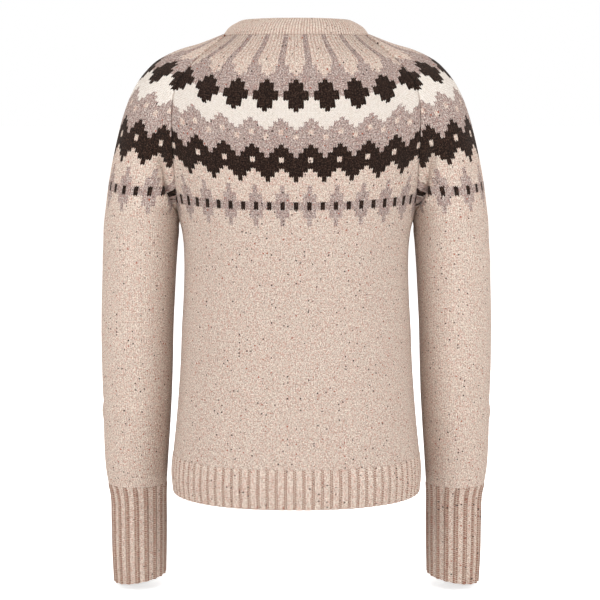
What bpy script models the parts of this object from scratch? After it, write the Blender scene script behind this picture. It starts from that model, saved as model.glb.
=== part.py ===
# A long-sleeved raglan sweater in its worn shape: hollow, with open neck, hem and cuffs.
# Axes: +Z up, the wearer faces -Y, and the wearer's left is +X.
# The origin is the middle of the neck opening, at the height of the back neck seam.

import math
from types import SimpleNamespace

import bmesh
import bpy
import numpy as np

NAME = "wool_sweater"
MM = 0.001

# The cloth and its seams.
WALL = 2.2 * MM
SEAM_GAP = 0.3 * MM
UNDERARM_GAP = 0.4 * MM
RIB_HEIGHT = 1.4 * MM

# Ribs counted round each edge.
HEM_RIBS = 82
CUFF_RIBS = 18
NECK_RIBS = 110

# Cells of the cloth across a back or a front, and points of a section before it is spaced out.
PANEL_CELLS = 20
FINE_STEPS = 180

# Steps from a raglan seam to the shoulder line, closer beside the armpit's fold.
SLEEVE_HALF_STEPS = (0, 0.03, 0.06, 0.1, 0.15, 0.22, 0.32, 0.45, 0.59, 0.73, 0.87, 1)

# How level a knitted row is over the middle of a panel before it climbs to the seams.
ROW_CLIMB = 2.6

# How tightly the sleeve's section keeps to its oval before it turns to meet the seam.
SEAM_PULL = 4


def table(names, rows):
    """Rows of a table in millimetres, as sections in metres with a name for each column."""
    names = names.split()
    return [SimpleNamespace(**dict(zip(names, [value * MM for value in row]))) for row in rows]


# Sections of the yoke at every tenth knitted row, from the neck seam down to the underarm.
# The middle of the back and of the front.
YOKE_MIDDLE = table("back_y back_z front_y front_z", (
    (66, 0, -78, -47),
    (76, -19, -82, -54.5),
    (85, -37, -87, -64),
    (92.5, -55, -93, -79),
    (98.5, -73, -99, -95),
    (103, -91, -104.5, -112),
    (106, -109, -109.5, -129.5),
    (108, -127, -114, -147),
    (109.3, -145, -117.5, -165),
    (110, -163, -120.5, -183),
    (110.3, -181.5, -122.5, -201),
    (110.2, -199.5, -123.7, -219),
    (110, -212, -124, -232),
))

# The raglan seams. Back and front seam share their distance from the middle.
YOKE_SEAMS = table("x back_y back_z front_y front_z", (
    (81, 24, 0, -26, -7),
    (101, 38, -17, -40, -24),
    (117, 50, -32, -52, -39),
    (126, 60, -44, -61, -52),
    (133, 67, -55.5, -67, -65),
    (137, 71, -69, -70.5, -80),
    (139, 73, -87, -72, -97),
    (139, 73, -109, -72, -117),
    (139, 70, -130, -69, -136),
    (139, 62, -150.5, -61, -155),
    (139, 47, -173.5, -46, -176),
    (139.5, 23, -196, -23, -197),
    (138.5, 0, -206, 0, -206),
))

# The shoulder line, and the oval of the arm there. The fold beside the armpit lies
# fold_at from the seam and is fold_depth deep.
YOKE_SLEEVE = table("outer_x outer_z middle_y half_width half_depth fold_at fold_depth", (
    (85, 0, 0, 22, 42, 20, 0),
    (111, -10, 0, 28, 46, 20, 0),
    (136, -17.5, 0, 38, 54, 20, 0),
    (158.5, -28.5, 0, 54.8, 62.4, 20, 0),
    (172, -40.5, 0, 59.3, 68, 20, 0),
    (183.5, -55.5, 0, 58.7, 70.5, 20, 0),
    (193, -74.5, -0.5, 58, 72, 20, 0),
    (200.4, -95.5, -0.5, 54, 69, 19, 0.5),
    (206.5, -118, -1, 48, 65, 17, 3),
    (211.8, -141, -1.5, 43.5, 61.5, 13, 8),
    (216, -162, -2, 41, 59, 9, 9),
    (219.2, -182, -2.5, 40.8, 57.5, 7, 5),
    (221, -196, -3, 41.25, 56.5, 6, 0),
))

# How far the oval turns from the shoulder line to the seam, in degrees, on the same rows.
YOKE_TURNS = (35, 50, 60, 66, 70, 78, 86, 95, 105, 118, 134, 158, 180)

# How square the yoke's sections are on the same rows. 2 is an ellipse.
YOKE_POWERS = (2, 2, 2, 2, 2, 2, 2.03, 2.06, 2.1, 2.15, 2.2, 2.25, 2.25)
TORSO_POWER = 2.25

# Level sections of the torso, from below the underarm to the hem rib.
TORSO = table("side_z back_z front_z half_width back_y front_y", (
    (-222, -226, -243, 134.5, 109.5, -123.5),
    (-238, -241, -254, 132.3, 109, -122.5),
    (-262, -264, -272, 131.4, 108, -120.5),
    (-300, -301, -304, 132.4, 107, -116),
    (-340, -340, -341, 134.9, 107.5, -112.5),
    (-380, -380, -380, 136.6, 109.5, -111),
    (-420, -420, -420, 139.4, 113, -112),
    (-455, -455, -455, 142.5, 116.5, -113.5),
    (-487, -487, -487, 146, 119, -115),
))
HEM_RIB = table("z half_width back_y front_y", (
    (-487.3, 146, 119, -115),
    (-512, 147.9, 120, -116),
    (-533.5, 146, 119, -115),
))

# Sections of a sleeve, from below the underarm to the cuff.
SLEEVE = table("outer_z inner_z outer_x inner_x middle_y half_depth", (
    (-215, -222, 222.9, 140, -3.5, 55.5),
    (-236, -240, 224, 141.3, -4, 54.5),
    (-265, -267, 225.7, 143.4, -5, 53.5),
    (-300, -301, 227.7, 145.5, -7, 52),
    (-340, -340, 229, 147.6, -9, 50.5),
    (-380, -380, 229.2, 148.8, -11, 49),
    (-420, -420, 228.7, 150.5, -13, 47),
    (-460, -460, 228.3, 153, -15, 44.5),
    (-492, -492, 227.7, 155.4, -16.5, 41.5),
    (-512, -512, 226.6, 156.8, -17.5, 39),
    (-529, -529, 224, 158, -18, 36.5),
))
CUFF = table("outer_z inner_z outer_x inner_x middle_y half_depth", (
    (-529.3, -529.3, 224, 158, -18, 36.5),
    (-542, -541, 221.2, 158.8, -18.5, 34.5),
    (-575, -572, 220, 159.1, -19, 33.5),
    (-614, -608, 219.6, 159.6, -19.5, 33.5),
    (-652, -642, 218, 160.6, -20, 33),
))

# Rings of the neckband, from the neck seam to its top edge.
NECKBAND = table("half_width side_z back_y back_z front_y front_z", (
    (85, 0.3, 66, 0.3, -78, -46.7),
    (76.5, 10.5, 62, 11, -75.5, -35.5),
    (62.5, 18.3, 55.5, 19, -70, -26.5),
))


def even(points, fractions, trim=0):
    """Points spaced by fractions of the length of a fine line, less a trim at both ends."""
    steps = np.linalg.norm(np.diff(points, axis=0), axis=1)
    along = np.concatenate(([0], np.cumsum(steps)))
    wanted = trim + np.asarray(fractions) * (along[-1] - 2 * trim)
    return np.column_stack([np.interp(wanted, along, points[:, axis]) for axis in range(3)])


def across(middle_y, middle_z, edge_x, edge_y, edge_z, power):
    """A fine line across a back or a front, from its +X edge to its -X edge."""
    reach = edge_x / (1 - (edge_y / middle_y) ** power) ** (1 / power)
    last = math.asin(min(1, (edge_x / reach) ** (power / 2)))
    angle = np.linspace(last, -last, FINE_STEPS + 1)
    x = reach * np.sign(angle) * np.abs(np.sin(angle)) ** (2 / power)
    y = middle_y * np.abs(np.cos(angle)) ** (2 / power)
    z = middle_z + (edge_z - middle_z) * np.abs(x / edge_x) ** ROW_CLIMB
    return np.column_stack((x, y, z))


def round_arm(section, turn, back_seam, front_seam):
    """A fine line round a sleeve, from the back seam over the shoulder to the front seam."""
    share = np.linspace(1, -1, 2 * FINE_STEPS + 1)
    angle = share * turn
    x = section.outer_x - section.half_width * (1 - np.cos(angle))
    y = section.middle_y + section.half_depth * np.sin(angle)
    drop = (1 - np.cos(angle)) / (1 - math.cos(turn))
    seam = np.where(share[:, None] > 0, back_seam, front_seam)
    end_y = section.middle_y + section.half_depth * np.sin(np.sign(share) * turn)
    pull = np.abs(share) ** SEAM_PULL
    x = x + pull * (seam[:, 0] - x[0])
    y = y + pull * (seam[:, 1] - end_y)
    z = section.outer_z + drop * (seam[:, 2] - section.outer_z)
    return np.column_stack((x, y, z))


def fold(points, at, depth):
    """The line with a soft trough beside each end, pressed towards the middle of the arm."""
    steps = np.linalg.norm(np.diff(points, axis=0), axis=1)
    along = np.concatenate(([0], np.cumsum(steps)))
    from_seam = np.minimum(along, along[-1] - along) / at
    trough = depth * (from_seam * np.exp(1 - from_seam)) ** 2
    tangent = np.gradient(points[:, :2], axis=0)
    inward = np.column_stack((-tangent[:, 1], tangent[:, 0]))
    inward /= np.linalg.norm(inward, axis=1)[:, None]
    middle = points[len(points) // 2, :2] - points[:, :2]
    inward *= np.sign(np.sum(inward * middle, axis=1))[:, None]
    return points + np.column_stack((inward * trough[:, None], np.zeros(len(points))))


def panel_rows(side):
    """Rows of points of the back or the front, from the neck seam down to the hem rib."""
    fractions = np.linspace(0, 1, PANEL_CELLS + 1)
    rows = []
    last = len(YOKE_MIDDLE) - 1
    for index, (middle, seam, power) in enumerate(zip(YOKE_MIDDLE, YOKE_SEAMS, YOKE_POWERS)):
        apart = UNDERARM_GAP / 2 * (index / last) ** 2
        line = across(
            getattr(middle, side + "_y"), getattr(middle, side + "_z"),
            seam.x - apart, getattr(seam, side + "_y"), getattr(seam, side + "_z"), power,
        )
        rows.append(even(line, fractions, SEAM_GAP / 2))
    for level in TORSO:
        line = across(
            getattr(level, side + "_y"), getattr(level, side + "_z"),
            level.half_width, 0, level.side_z, TORSO_POWER,
        )
        rows.append(even(line, fractions, SEAM_GAP / 2))
    return np.array(rows)


def sleeve_fractions():
    """Places round a sleeve from the back seam to the front seam, close beside both."""
    half = np.array(SLEEVE_HALF_STEPS) / 2
    return np.concatenate((half, 1 - half[-2::-1]))


def sleeve_rows():
    """Rows of points of the wearer's left sleeve, from the neck seam down to the cuff."""
    fractions = sleeve_fractions()
    rows = []
    last = len(YOKE_SLEEVE) - 1
    sections = zip(YOKE_SLEEVE, YOKE_SEAMS, YOKE_TURNS)
    for index, (section, seam, turn) in enumerate(sections):
        apart = UNDERARM_GAP / 2 * (index / last) ** 2
        back_seam = np.array((seam.x + apart, seam.back_y, seam.back_z))
        front_seam = np.array((seam.x + apart, seam.front_y, seam.front_z))
        line = round_arm(section, math.radians(turn), back_seam, front_seam)
        line = fold(line, section.fold_at, section.fold_depth)
        rows.append(even(line, fractions, SEAM_GAP / 2))
    for level in SLEEVE:
        rows.append(even(oval(level), fractions, SEAM_GAP / 2))
    return np.array(rows)


def oval(level):
    """A fine line round an arm, from its inner side by the back to its inner side again."""
    angle = np.linspace(math.pi, -math.pi, 2 * FINE_STEPS + 1)
    middle_x = (level.outer_x + level.inner_x) / 2
    half_width = (level.outer_x - level.inner_x) / 2
    x = middle_x + half_width * np.cos(angle)
    y = level.middle_y + level.half_depth * np.sin(angle)
    z = (level.outer_z + level.inner_z + (level.outer_z - level.inner_z) * np.cos(angle)) / 2
    return np.column_stack((x, y, z))


def mirrored(rows):
    """The rows on the wearer's right, still running the same way round."""
    return rows[:, ::-1] * (-1, 1, 1)


def closed_loop(back, front, count):
    """Even points all round, from the +X side by the back to the -X side and by the front."""
    line = np.concatenate((back, front[::-1][1:]))
    return even(line, np.arange(count) / count)


def outward(loops):
    """Unit normals of closed loops that are stacked from top to bottom."""
    around = np.roll(loops, -1, axis=1) - np.roll(loops, 1, axis=1)
    down = np.gradient(loops, axis=0)
    normal = np.cross(down, around)
    normal /= np.linalg.norm(normal, axis=2)[:, :, None]
    middle = loops.mean(axis=1, keepdims=True)
    facing = np.sign(np.sum(normal * (loops - middle), axis=(1, 2)))
    return normal * facing[:, None, None]


def add_object(name, mesh, colour):
    """The mesh as an object of the garment, in its own yarn."""
    material = bpy.data.materials.new(name)
    material.use_nodes = True
    shader = material.node_tree.nodes["Principled BSDF"]
    shader.inputs["Base Color"].default_value = (*colour, 1)
    shader.inputs["Roughness"].default_value = 0.95
    shader.inputs["Metallic"].default_value = 0
    material.diffuse_color = (*colour, 1)
    mesh.materials.append(material)
    part = bpy.data.objects.new(name, mesh)
    garment.objects.link(part)
    return part


def cloth(name, rows, colour):
    """A panel of cloth with its outer face through the rows, and its wall laid inwards."""
    downs, acrosses = rows.shape[0] - 1, rows.shape[1] - 1
    shape = bmesh.new()
    bmesh.ops.create_grid(shape, x_segments=acrosses, y_segments=downs, size=0.5)
    for vert in shape.verts:
        column = round((vert.co.x + 0.5) * acrosses)
        row = round((0.5 - vert.co.y) * downs)
        vert.co = rows[row, column]
    mesh = bpy.data.meshes.new(name)
    shape.to_mesh(mesh)
    shape.free()
    part = add_object(name, mesh, colour)
    wall = part.modifiers.new("wall", "SOLIDIFY")
    wall.thickness = WALL
    wall.offset = -1
    wall.use_even_offset = True
    split = part.modifiers.new("shortest diagonals", "TRIANGULATE")
    split.quad_method = "SHORTEST_DIAGONAL"
    return part


def ribbing(name, loops, ribs, colour):
    """A ring of knitted ribs: raised in its outer points, over a plain inside."""
    count = loops.shape[1]
    normal = outward(loops)
    crest = np.cos(2 * math.pi * ribs * np.arange(count) / count)
    outer = loops + normal * (crest * RIB_HEIGHT / 2)[None, :, None]
    inner = loops - normal * WALL
    rings = np.concatenate((outer, inner[::-1]))
    verts = rings.reshape(-1, 3)
    faces = []
    for ring in range(len(rings)):
        below = (ring + 1) % len(rings)
        for point in range(count):
            beside = (point + 1) % count
            faces.append((
                ring * count + point, below * count + point,
                below * count + beside, ring * count + beside,
            ))
    mesh = bpy.data.meshes.new(name)
    mesh.from_pydata(verts.tolist(), [], faces)
    shape = bmesh.new()
    shape.from_mesh(mesh)
    bmesh.ops.recalc_face_normals(shape, faces=shape.faces)
    shape.to_mesh(mesh)
    shape.free()
    return add_object(name, mesh, colour)


def hem_loops():
    """The hem rib's rings, two points to a rib."""
    loops = []
    for level in HEM_RIB:
        back = across(level.back_y, level.z, level.half_width, 0, level.z, TORSO_POWER)
        front = across(level.front_y, level.z, level.half_width, 0, level.z, TORSO_POWER)
        loops.append(closed_loop(back, front, 2 * HEM_RIBS))
    return np.array(loops)


def cuff_loops():
    """The left cuff's rings, two points to a rib."""
    count = 2 * CUFF_RIBS
    fractions = np.arange(count) / count
    return np.array([even(oval(level), fractions) for level in CUFF])


def neck_loops():
    """The neckband's rings, from the seam to the top edge, two points to a rib."""
    loops = []
    for level in NECKBAND:
        back = across(level.back_y, level.back_z, level.half_width, 0, level.side_z, 2)
        front = across(level.front_y, level.front_z, level.half_width, 0, level.side_z, 2)
        loops.append(closed_loop(back, front, 2 * NECK_RIBS))
    return np.array(loops[::-1])


OATMEAL = (0.62, 0.50, 0.42)
OATMEAL_RIB = (0.58, 0.46, 0.38)

for item in list(bpy.data.objects):
    bpy.data.objects.remove(item, do_unlink=True)

garment = bpy.data.collections.new(NAME)
bpy.context.scene.collection.children.link(garment)

left_sleeve = sleeve_rows()
left_cuff = cuff_loops()

cloth("back", panel_rows("back"), OATMEAL)
cloth("front", panel_rows("front")[:, ::-1], OATMEAL)
cloth("sleeve_left", left_sleeve[:, ::-1], OATMEAL)
cloth("sleeve_right", mirrored(left_sleeve[:, ::-1]), OATMEAL)
ribbing("hem_rib", hem_loops(), HEM_RIBS, OATMEAL_RIB)
ribbing("cuff_left", left_cuff, CUFF_RIBS, OATMEAL_RIB)
ribbing("cuff_right", np.roll(mirrored(left_cuff), 1, axis=1), CUFF_RIBS, OATMEAL_RIB)
ribbing("neckband", neck_loops(), NECK_RIBS, OATMEAL_RIB)
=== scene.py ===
import math
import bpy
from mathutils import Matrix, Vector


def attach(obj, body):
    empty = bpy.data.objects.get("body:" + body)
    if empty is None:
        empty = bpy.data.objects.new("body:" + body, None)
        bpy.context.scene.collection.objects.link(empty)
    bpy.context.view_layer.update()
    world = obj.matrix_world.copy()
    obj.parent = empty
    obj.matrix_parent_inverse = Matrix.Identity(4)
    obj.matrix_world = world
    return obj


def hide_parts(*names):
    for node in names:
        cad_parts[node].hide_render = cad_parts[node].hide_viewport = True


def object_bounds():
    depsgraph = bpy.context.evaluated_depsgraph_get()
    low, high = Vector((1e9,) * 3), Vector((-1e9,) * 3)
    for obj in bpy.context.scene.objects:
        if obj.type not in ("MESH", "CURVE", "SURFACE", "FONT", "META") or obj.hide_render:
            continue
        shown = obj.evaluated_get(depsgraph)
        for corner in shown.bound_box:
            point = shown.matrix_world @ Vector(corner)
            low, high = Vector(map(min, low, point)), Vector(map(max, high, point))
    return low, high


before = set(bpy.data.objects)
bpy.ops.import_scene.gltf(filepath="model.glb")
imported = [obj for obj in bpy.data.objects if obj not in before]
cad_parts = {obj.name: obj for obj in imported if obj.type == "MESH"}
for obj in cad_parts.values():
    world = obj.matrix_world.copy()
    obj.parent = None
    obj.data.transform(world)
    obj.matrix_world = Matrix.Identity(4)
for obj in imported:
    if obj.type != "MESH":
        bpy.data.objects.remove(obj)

from types import SimpleNamespace

import bpy
import numpy as np
from mathutils import Vector

cad_low, cad_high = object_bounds()
bpy.ops.object.select_all(action="DESELECT")


# The studio: a wide pale floor that the garment's cuffs just clear, soft lamps on both sides
# that leave the inner edges of the sleeves in shade, and a camera at chest height behind it.
# Lengths are in metres, the pitch is in degrees below level, and the lens is in millimetres.
MM = 0.001
WHITE = (1, 1, 1, 1)
CAMERA_PLACE = (-0.0044, 2.1, -0.066)
CAMERA_PITCH = 6.574
CAMERA_LENS = 107.5
CAMERA_FRAME = 36
FLOOR_DROP = 6 * MM
FLOOR_SIZE = 60
FLOOR_COLOUR = (0.86, 0.855, 0.85, 1)
FLOOR_GLOW = 0.64
GARMENT_MIDDLE = Vector((0, 0, -0.3))
LAMPS = (
    # name, place, size, watts
    ("left lamp", (2.1, 1.65, 0.6), 1.4, 31),
    ("right lamp", (-2.1, 1.65, 0.6), 1.4, 31),
    ("camera lamp", (0, 2.3, 1.8), 1.6, 33),
    ("far left lamp", (0.9, -2.6, 0.8), 1.4, 12),
    ("far right lamp", (-0.9, -2.6, 0.8), 1.4, 12),
)
LAMP_COLOUR = (0.94, 1.0, 1.035)
ROOM_LIGHT = 0.6
ROOM_COLOUR = (1.0, 0.91, 0.85, 1)

camera_data = bpy.data.cameras.new("camera")
camera_data.lens = CAMERA_LENS
camera_data.sensor_width = CAMERA_FRAME
camera = bpy.data.objects.new("camera", camera_data)
camera.location = CAMERA_PLACE
camera.rotation_euler = (math.radians(90 - CAMERA_PITCH), 0, math.pi)
bpy.context.scene.collection.objects.link(camera)
bpy.context.scene.camera = camera

for lamp_name, place, size, watts in LAMPS:
    lamp_data = bpy.data.lights.new(lamp_name, "AREA")
    lamp_data.shape = "DISK"
    lamp_data.size = size
    lamp_data.energy = watts
    lamp_data.color = LAMP_COLOUR
    lamp = bpy.data.objects.new(lamp_name, lamp_data)
    lamp.location = place
    aim = GARMENT_MIDDLE - Vector(place)
    lamp.rotation_euler = aim.to_track_quat("-Z", "Y").to_euler()
    bpy.context.scene.collection.objects.link(lamp)

world = bpy.data.worlds.new("studio")
world.use_nodes = True
bpy.context.scene.world = world
sky = world.node_tree.nodes["Background"]
seen = world.node_tree.nodes.new("ShaderNodeLightPath")
air = world.node_tree.nodes.new("ShaderNodeMix")
air.data_type = "RGBA"
air.inputs["A"].default_value = ROOM_COLOUR
air.inputs["B"].default_value = WHITE
world.node_tree.links.new(seen.outputs["Is Camera Ray"], air.inputs["Factor"])
world.node_tree.links.new(air.outputs["Result"], sky.inputs["Color"])
strength = world.node_tree.nodes.new("ShaderNodeMapRange")
strength.inputs["To Min"].default_value = ROOM_LIGHT
strength.inputs["To Max"].default_value = 1
world.node_tree.links.new(seen.outputs["Is Camera Ray"], strength.inputs["Value"])
world.node_tree.links.new(strength.outputs["Result"], sky.inputs["Strength"])
bpy.context.scene.view_settings.view_transform = "Standard"

bpy.ops.mesh.primitive_plane_add(size=FLOOR_SIZE, location=(0, 0, cad_low.z - FLOOR_DROP))
floor = bpy.context.active_object
floor.name = "floor"
paint = bpy.data.materials.new("pale floor")
paint.use_nodes = True
paint_shader = paint.node_tree.nodes["Principled BSDF"]
paint_shader.inputs["Base Color"].default_value = FLOOR_COLOUR
paint_shader.inputs["Roughness"].default_value = 0.9
paint_shader.inputs["Emission Color"].default_value = WHITE
floor_seen = paint.node_tree.nodes.new("ShaderNodeLightPath")
glow = paint.node_tree.nodes.new("ShaderNodeMath")
glow.operation = "MULTIPLY"
glow.inputs[1].default_value = FLOOR_GLOW
paint.node_tree.links.new(floor_seen.outputs["Is Camera Ray"], glow.inputs[0])
paint.node_tree.links.new(glow.outputs[0], paint_shader.inputs["Emission Strength"])
floor.data.materials.append(paint)


# The back and front panels. Each is one piece of fine stocking stitch in oatmeal wool, with a
# yoke of stepped motifs in grey, dark brown and ecru. It is shaped along its raglan edges,
# linked there to the sleeves, and joined to the other panel down both sides.
WALL = 2.0 * MM
STITCH = 2.6 * MM
ROW = 1.82 * MM
# A knitted row, counted down from the neck seam, and the width of a stitch there in mm.
STITCH_WIDTHS = (
    (0, 1.75), (5, 1.95), (15, 2.5), (27, 2.68), (45, 2.95), (56, 2.8), (80, 2.68), (104, 2.48),
)
YOKE_ROWS = 117
# Points across a panel, and down it in the yoke and below. Cells beside a seam are narrow.
PANEL_ACROSS = 112
PANEL_DOWN = (60, 76)
NARROW_CELLS = np.array((0, 0.0025, 0.006, 0.011, 0.018))
WIDE_CELLS_FROM = 0.027
FINE_STEPS = 360
# Powers: how late a row climbs towards its seams, and how square the body is in plan.
ROW_CLIMB = 2.6
TORSO_POWER = 2.25
CREASE_BOW = 0.12
# Along a raglan seam the edges dip, and the cloth beside them rises by so many millimetres
# at a knitted row, in the given way out from the garment.
SEAM_GAP = 0.02 * MM
SEAM_DIP = 0.25 * MM
SEAM_REACH = 1.8 * MM
SEAM_ROUND = 1.6
SEAM_WAY = (0.38, 0.92, 0.12)
SEAM_RISE = ((0, 0), (15, 1), (35, 3), (65, 4), (88, 2), (102, 0))
RISE_REACH = 12 * MM
# How many rows the knitting rides up beside a seam at a knitted row, and over what share.
PANEL_LIFT = ((0, 0), (12, 3), (30, 5), (45, 2.5), (60, 0))
PANEL_LIFT_REACH = 0.16


def table(names, rows):
    """Rows of a table in millimetres, as sections in metres with a name for each column."""
    names = names.split()
    return [SimpleNamespace(**dict(zip(names, [value * MM for value in row]))) for row in rows]


# Sections of the yoke at every tenth knitted row, from the neck seam down to the underarm.
YOKE_MIDDLE = table("back_y back_z front_y front_z", (
    (66, 0, -78, -47),
    (76, -19, -82, -54.5),
    (85, -37, -87, -64),
    (92.5, -55, -93, -79),
    (98.5, -73, -99, -95),
    (103, -91, -104.5, -112),
    (106, -109, -109.5, -129.5),
    (108, -127, -114, -147),
    (109.3, -145, -117.5, -165),
    (110, -163, -120.5, -183),
    (110.3, -181.5, -122.5, -201),
    (110.2, -199.5, -123.7, -219),
    (110, -212, -124, -232),
))
YOKE_SEAMS = table("x back_y back_z front_y front_z", (
    (81, 24, 0, -26, -7),
    (101, 38, -17, -40, -24),
    (117, 50, -32, -52, -39),
    (126, 60, -44, -61, -52),
    (133, 67, -55.5, -67, -65),
    (137, 71, -69, -70.5, -80),
    (139, 73, -87, -72, -97),
    (139, 73, -109, -72, -117),
    (139, 70, -130, -69, -136),
    (139, 62, -150.5, -61, -155),
    (139, 47, -173.5, -46, -176),
    (139.5, 23, -196, -23, -197),
    (138.5, 0, -206, 0, -206),
))
YOKE_POWERS = (2, 2, 2, 2, 2, 2, 2.03, 2.06, 2.1, 2.15, 2.2, 2.25, 2.25)
YOKE_AT = np.array((0, 10, 20, 30, 40, 50, 60, 70, 80, 90, 100, 110, YOKE_ROWS), float)
TORSO = table("side_z back_z front_z half_width back_y front_y", (
    (-222, -226, -243, 134.5, 109.5, -123.5),
    (-238, -241, -254, 132.3, 109, -122.5),
    (-262, -264, -272, 131.4, 108, -120.5),
    (-300, -301, -304, 132.4, 107, -116),
    (-340, -340, -341, 134.9, 107.5, -112.5),
    (-380, -380, -380, 136.6, 109.5, -111),
    (-420, -420, -420, 139.4, 113, -112),
    (-455, -455, -455, 142.5, 116.5, -113.5),
    (-487.15, -487.15, -487.15, 146, 119, -115),
))

# Soft creases pressed into the cloth by its own weight and by the sleeves. Places are measured
# on the cloth from the middle line and down from the neck seam. A lean turns from level.
BACK_CREASES = table("across down length width depth", (
    (96, 232, 46, 13, 1.4),
    (-104, 239, 40, 15, 1.1),
    (70, 262, 60, 17, 0.9),
    (-62, 286, 70, 19, 1.0),
    (20, 330, 90, 21, 0.8),
    (-30, 410, 110, 22, -0.8),
    (118, 352, 50, 16, 1.0),
    (-124, 372, 46, 17, 0.9),
    (60, 446, 70, 16, -0.7),
))
BACK_LEANS = (38, -32, 24, -18, 6, -4, 30, -24, 5)
FRONT_CREASES = table("across down length width depth", (
    (102, 196, 50, 14, 1.6),
    (-96, 204, 44, 15, 1.3),
    (64, 236, 66, 18, 1.0),
    (-74, 250, 60, 17, 1.1),
    (-14, 316, 100, 22, 0.9),
    (34, 392, 110, 21, -0.9),
    (-120, 330, 48, 16, 1.1),
    (116, 356, 52, 17, 0.9),
    (-50, 436, 76, 17, -0.8),
))
FRONT_LEANS = (34, -40, 22, -26, -5, 5, -28, 26, -6)


def length_of(line):
    """The length of a fine line."""
    return np.linalg.norm(np.diff(line, axis=0), axis=1).sum()


def along_line(points):
    """How far each point of a line lies from its start."""
    steps = np.linalg.norm(np.diff(points, axis=0), axis=1)
    return np.concatenate(([0], np.cumsum(steps)))


def along_rows(points):
    """How far each point of a grid lies from the start of its row."""
    steps = np.linalg.norm(np.diff(points, axis=1), axis=2)
    return np.concatenate((np.zeros((len(points), 1)), np.cumsum(steps, axis=1)), axis=1)


def even(points, fractions, trim=0):
    """Points spaced by fractions of the length of a fine line, less a trim at both ends."""
    along = along_line(points)
    wanted = trim + np.asarray(fractions) * (along[-1] - 2 * trim)
    return np.column_stack([np.interp(wanted, along, points[:, axis]) for axis in range(3)])


def across(middle_y, middle_z, edge_x, edge_y, edge_z, power):
    """A fine line across a back or a front, from its +X edge to its -X edge."""
    reach = edge_x / (1 - (edge_y / middle_y) ** power) ** (1 / power)
    last = math.asin(min(1, (edge_x / reach) ** (power / 2)))
    angle = np.linspace(last, -last, FINE_STEPS + 1)
    x = reach * np.sign(angle) * np.abs(np.sin(angle)) ** (2 / power)
    y = middle_y * np.abs(np.cos(angle)) ** (2 / power)
    z = middle_z + (edge_z - middle_z) * np.abs(x / edge_x) ** ROW_CLIMB
    return np.column_stack((x, y, z))


def smooth_down(sections, at, wanted):
    """Values on smooth curves through the sections, which lie at the given knitted rows."""
    slopes = np.gradient(sections, at, axis=0)
    index = np.clip(np.searchsorted(at, wanted, side="right") - 1, 0, len(at) - 2)
    span = at[index + 1] - at[index]
    t = (wanted - at[index]) / span
    shape = (-1,) + (1,) * (sections.ndim - 1)
    t, span = t.reshape(shape), span.reshape(shape)
    return (
        (2 * t ** 3 - 3 * t ** 2 + 1) * sections[index]
        + (t ** 3 - 2 * t ** 2 + t) * span * slopes[index]
        + (3 * t ** 2 - 2 * t ** 3) * sections[index + 1]
        + (t ** 3 - t ** 2) * span * slopes[index + 1]
    )


def stitch_width(row):
    """The stitches are drawn in at the neck, stretched over the shoulders and eased below."""
    return MM * np.interp(row, *zip(*STITCH_WIDTHS))


def cloth_normals(points):
    """Unit normals of a grid of points, on the side that faces out of the garment."""
    down = np.gradient(points, axis=0)
    along = np.gradient(points, axis=1)
    normal = np.cross(down, along)
    return normal / np.linalg.norm(normal, axis=2)[:, :, None]


def creased(points, creases, leans):
    """The cloth with soft troughs, and ridges where the depth is below zero."""
    middle = points.shape[1] // 2
    along = along_rows(points)
    along = along - along[:, middle:middle + 1]
    down = along_line(points[:, middle])[:, None]
    depth = np.zeros(points.shape[:2])
    for crease, lean in zip(creases, leans):
        turn = math.radians(lean)
        right, below = along - crease.across, down - crease.down
        lengthwise = right * math.cos(turn) + below * math.sin(turn)
        sideways = below * math.cos(turn) - right * math.sin(turn)
        sideways = sideways + CREASE_BOW * crease.length * (lengthwise / crease.length) ** 2
        depth += crease.depth * np.exp(
            -(sideways / crease.width) ** 2 - (lengthwise / crease.length) ** 4
        )
    return points - cloth_normals(points) * depth[:, :, None]


def eased_seams(points, rows):
    """The cloth rises softly to its raglan seams, and the linked edges lie a little deeper."""
    along = along_rows(points)
    rise = MM * np.interp(rows[:, :1], *zip(*SEAM_RISE))
    moved = points.copy()
    for edge, distance in ((0, along), (-1, along[:, -1:] - along)):
        way = np.sign(points[:, edge]) * SEAM_WAY
        way[:, 2] = SEAM_WAY[2]
        height = rise * np.exp(-(distance / RISE_REACH) ** 2)
        height -= SEAM_DIP * np.exp(-(distance / SEAM_REACH) ** SEAM_ROUND)
        moved += height[:, :, None] * way[:, None]
    return moved


def eased(share):
    """A share that grows softly from 0 to 1, and keeps to them beyond."""
    share = np.clip(share, 0, 1)
    return share * share * (3 - 2 * share)


def lifted_rows(rows_at, fractions, lifts, reach):
    """The knitted row at every point: rows ride up beside a seam by so many rows."""
    near = eased(1 - np.minimum(fractions, 1 - fractions) / reach)
    return rows_at[:, None] + np.interp(rows_at, *zip(*lifts))[:, None] * near[None, :]


def closer_at_edges(count):
    """Fractions across a panel, with the first cells beside each seam narrow."""
    middle = np.linspace(WIDE_CELLS_FROM, 1 - WIDE_CELLS_FROM, count - 2 * len(NARROW_CELLS))
    return np.concatenate((NARROW_CELLS, middle, 1 - NARROW_CELLS[::-1]))


def knitted_grid(sections, lengths, drops, down, fractions, lifts, reach):
    """Points on smooth curves down through the sections, with the stitch and row at each.

    The yoke's sections come first, and the others hang by their drops below its last row.
    """
    at = np.concatenate((YOKE_AT, YOKE_ROWS + np.array(drops) / ROW))
    in_yoke, below_yoke = down
    rows_at = np.concatenate((
        np.linspace(0, YOKE_ROWS, in_yoke), np.linspace(YOKE_ROWS, at[-1], below_yoke)[1:],
    ))
    points = smooth_down(np.array(sections), at, rows_at)
    count = smooth_down(np.array(lengths), at, rows_at) / stitch_width(rows_at)
    columns = (0.5 - fractions)[None, :] * count[:, None]
    return points, columns, lifted_rows(rows_at, fractions, lifts, reach)


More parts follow.
